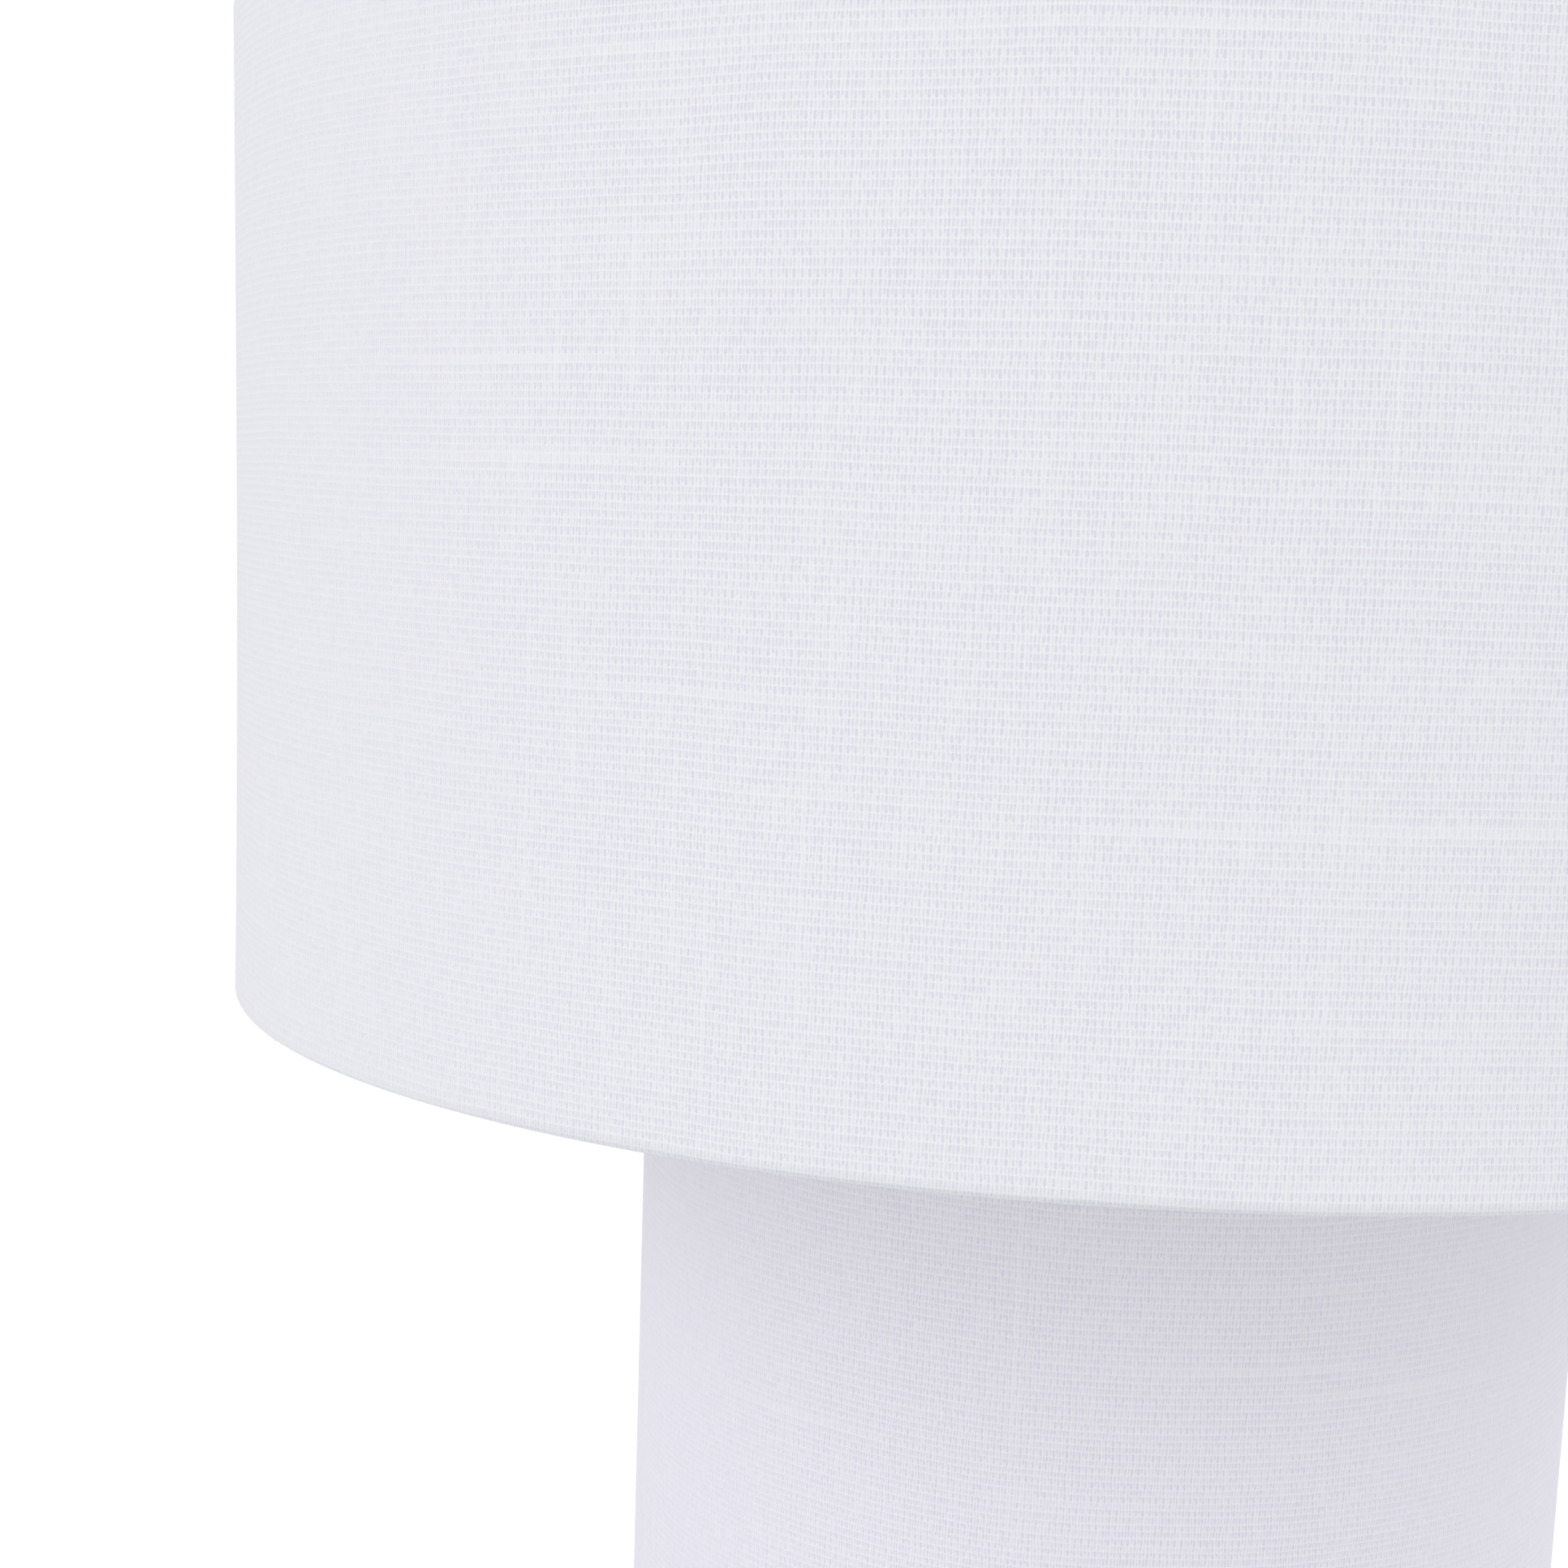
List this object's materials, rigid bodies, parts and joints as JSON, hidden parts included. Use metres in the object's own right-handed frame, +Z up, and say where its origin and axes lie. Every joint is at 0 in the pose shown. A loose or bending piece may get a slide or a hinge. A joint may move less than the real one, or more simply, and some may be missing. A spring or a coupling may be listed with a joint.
{
  "type": "tripod floor lamp",
  "caption": "Floor lamp with a wide cotton drum shade above a narrower coaxial cotton drum, on a stem and a folding tripod of tapered wooden legs.",
  "frame": {"origin": "on the floor, at the middle of the box around the whole lamp", "axes": "+Z up along the stem, -Y towards the front, where the dimmer knob is; the rear leg points to +Y"},
  "size_m": [0.4994, 0.4864, 1.5],
  "materials": {
    "cotton": "off-white slub cotton, plain weave, matt",
    "liner": "white translucent film, satin",
    "frame_wire": "white powder coat",
    "holder_plastic": "black phenolic, satin",
    "ceramic": "glazed white ceramic",
    "brass": "plain brass",
    "bulb_metal": "nickel plated",
    "bulb_plastic": "white, satin",
    "opal_glass": "opal white, gloss",
    "steel": "zinc plated",
    "black_metal": "satin black powder coat",
    "lead_sheath": "white sheath",
    "gland_plastic": "black nylon",
    "dimmer_case": "dark grey",
    "nylon": "natural nylon",
    "oak": "oiled oak, satin",
    "foot_rubber": "black rubber"
  },
  "bodies": {
    "lamp": {"upper_cover": "cotton", "upper_liner": "liner", "upper_top_hoop": "frame_wire", "upper_bottom_hoop": "frame_wire", "upper_spider": "frame_wire", "lower_cover": "cotton", "lower_liner": "liner", "lower_top_hoop": "frame_wire", "lower_bottom_hoop": "frame_wire", "lower_spider": "frame_wire", "shade_ring": "holder_plastic", "holder_shell": "holder_plastic", "holder_cap": "holder_plastic", "holder_insert": "ceramic", "screw_sleeve": "brass", "centre_contact": "brass", "bulb_cap": "bulb_metal", "bulb_neck": "bulb_plastic", "bulb_globe": "opal_glass", "holder_nipple": "brass", "stem_plug": "steel", "stem_tube": "black_metal", "inner_lead": "lead_sheath", "stem_collar": "black_metal", "stem_nut": "steel", "hub_body": "black_metal", "hub_lid": "black_metal", "lid_screws": "steel", "cord_gland": "gland_plastic", "gland_nut": "gland_plastic", "dimmer_module": "dimmer_case", "dimmer_nut": "steel", "pivot_bolts": "steel", "pivot_nuts": "steel", "pivot_washers": "nylon"},
    "dimmer": {"dimmer_shaft": "steel", "dimmer_knob": "black_metal"},
    "rear_leg": {"rear_leg": "oak", "rear_ferrule": "black_metal", "rear_bush": "nylon", "rear_pin": "steel", "rear_foot": "foot_rubber"},
    "left_leg": {"left_leg": "oak", "left_ferrule": "black_metal", "left_bush": "nylon", "left_pin": "steel", "left_foot": "foot_rubber"},
    "right_leg": {"right_leg": "oak", "right_ferrule": "black_metal", "right_bush": "nylon", "right_pin": "steel", "right_foot": "foot_rubber"}
  },
  "joints": [
    {"name": "dimmer_turn", "type": "hinge", "parent": "lamp", "child": "dimmer", "pos_m": [0, -0.08818, 0.938], "axis": [0, -1, 0], "range_deg": [0, 270]},
    {"name": "rear_leg_fold", "type": "hinge", "parent": "lamp", "child": "rear_leg", "pos_m": [0, 0.01282, 0.94], "axis": [-1, 0, 0], "range_deg": [0, 13]},
    {"name": "left_leg_fold", "type": "hinge", "parent": "lamp", "child": "left_leg", "pos_m": [-0.0485, -0.07118, 0.94], "axis": [0.5, -0.866, 0], "range_deg": [0, 13]},
    {"name": "right_leg_fold", "type": "hinge", "parent": "lamp", "child": "right_leg", "pos_m": [0.0485, -0.07118, 0.94], "axis": [0.5, 0.866, 0], "range_deg": [0, 13]}
  ]
}
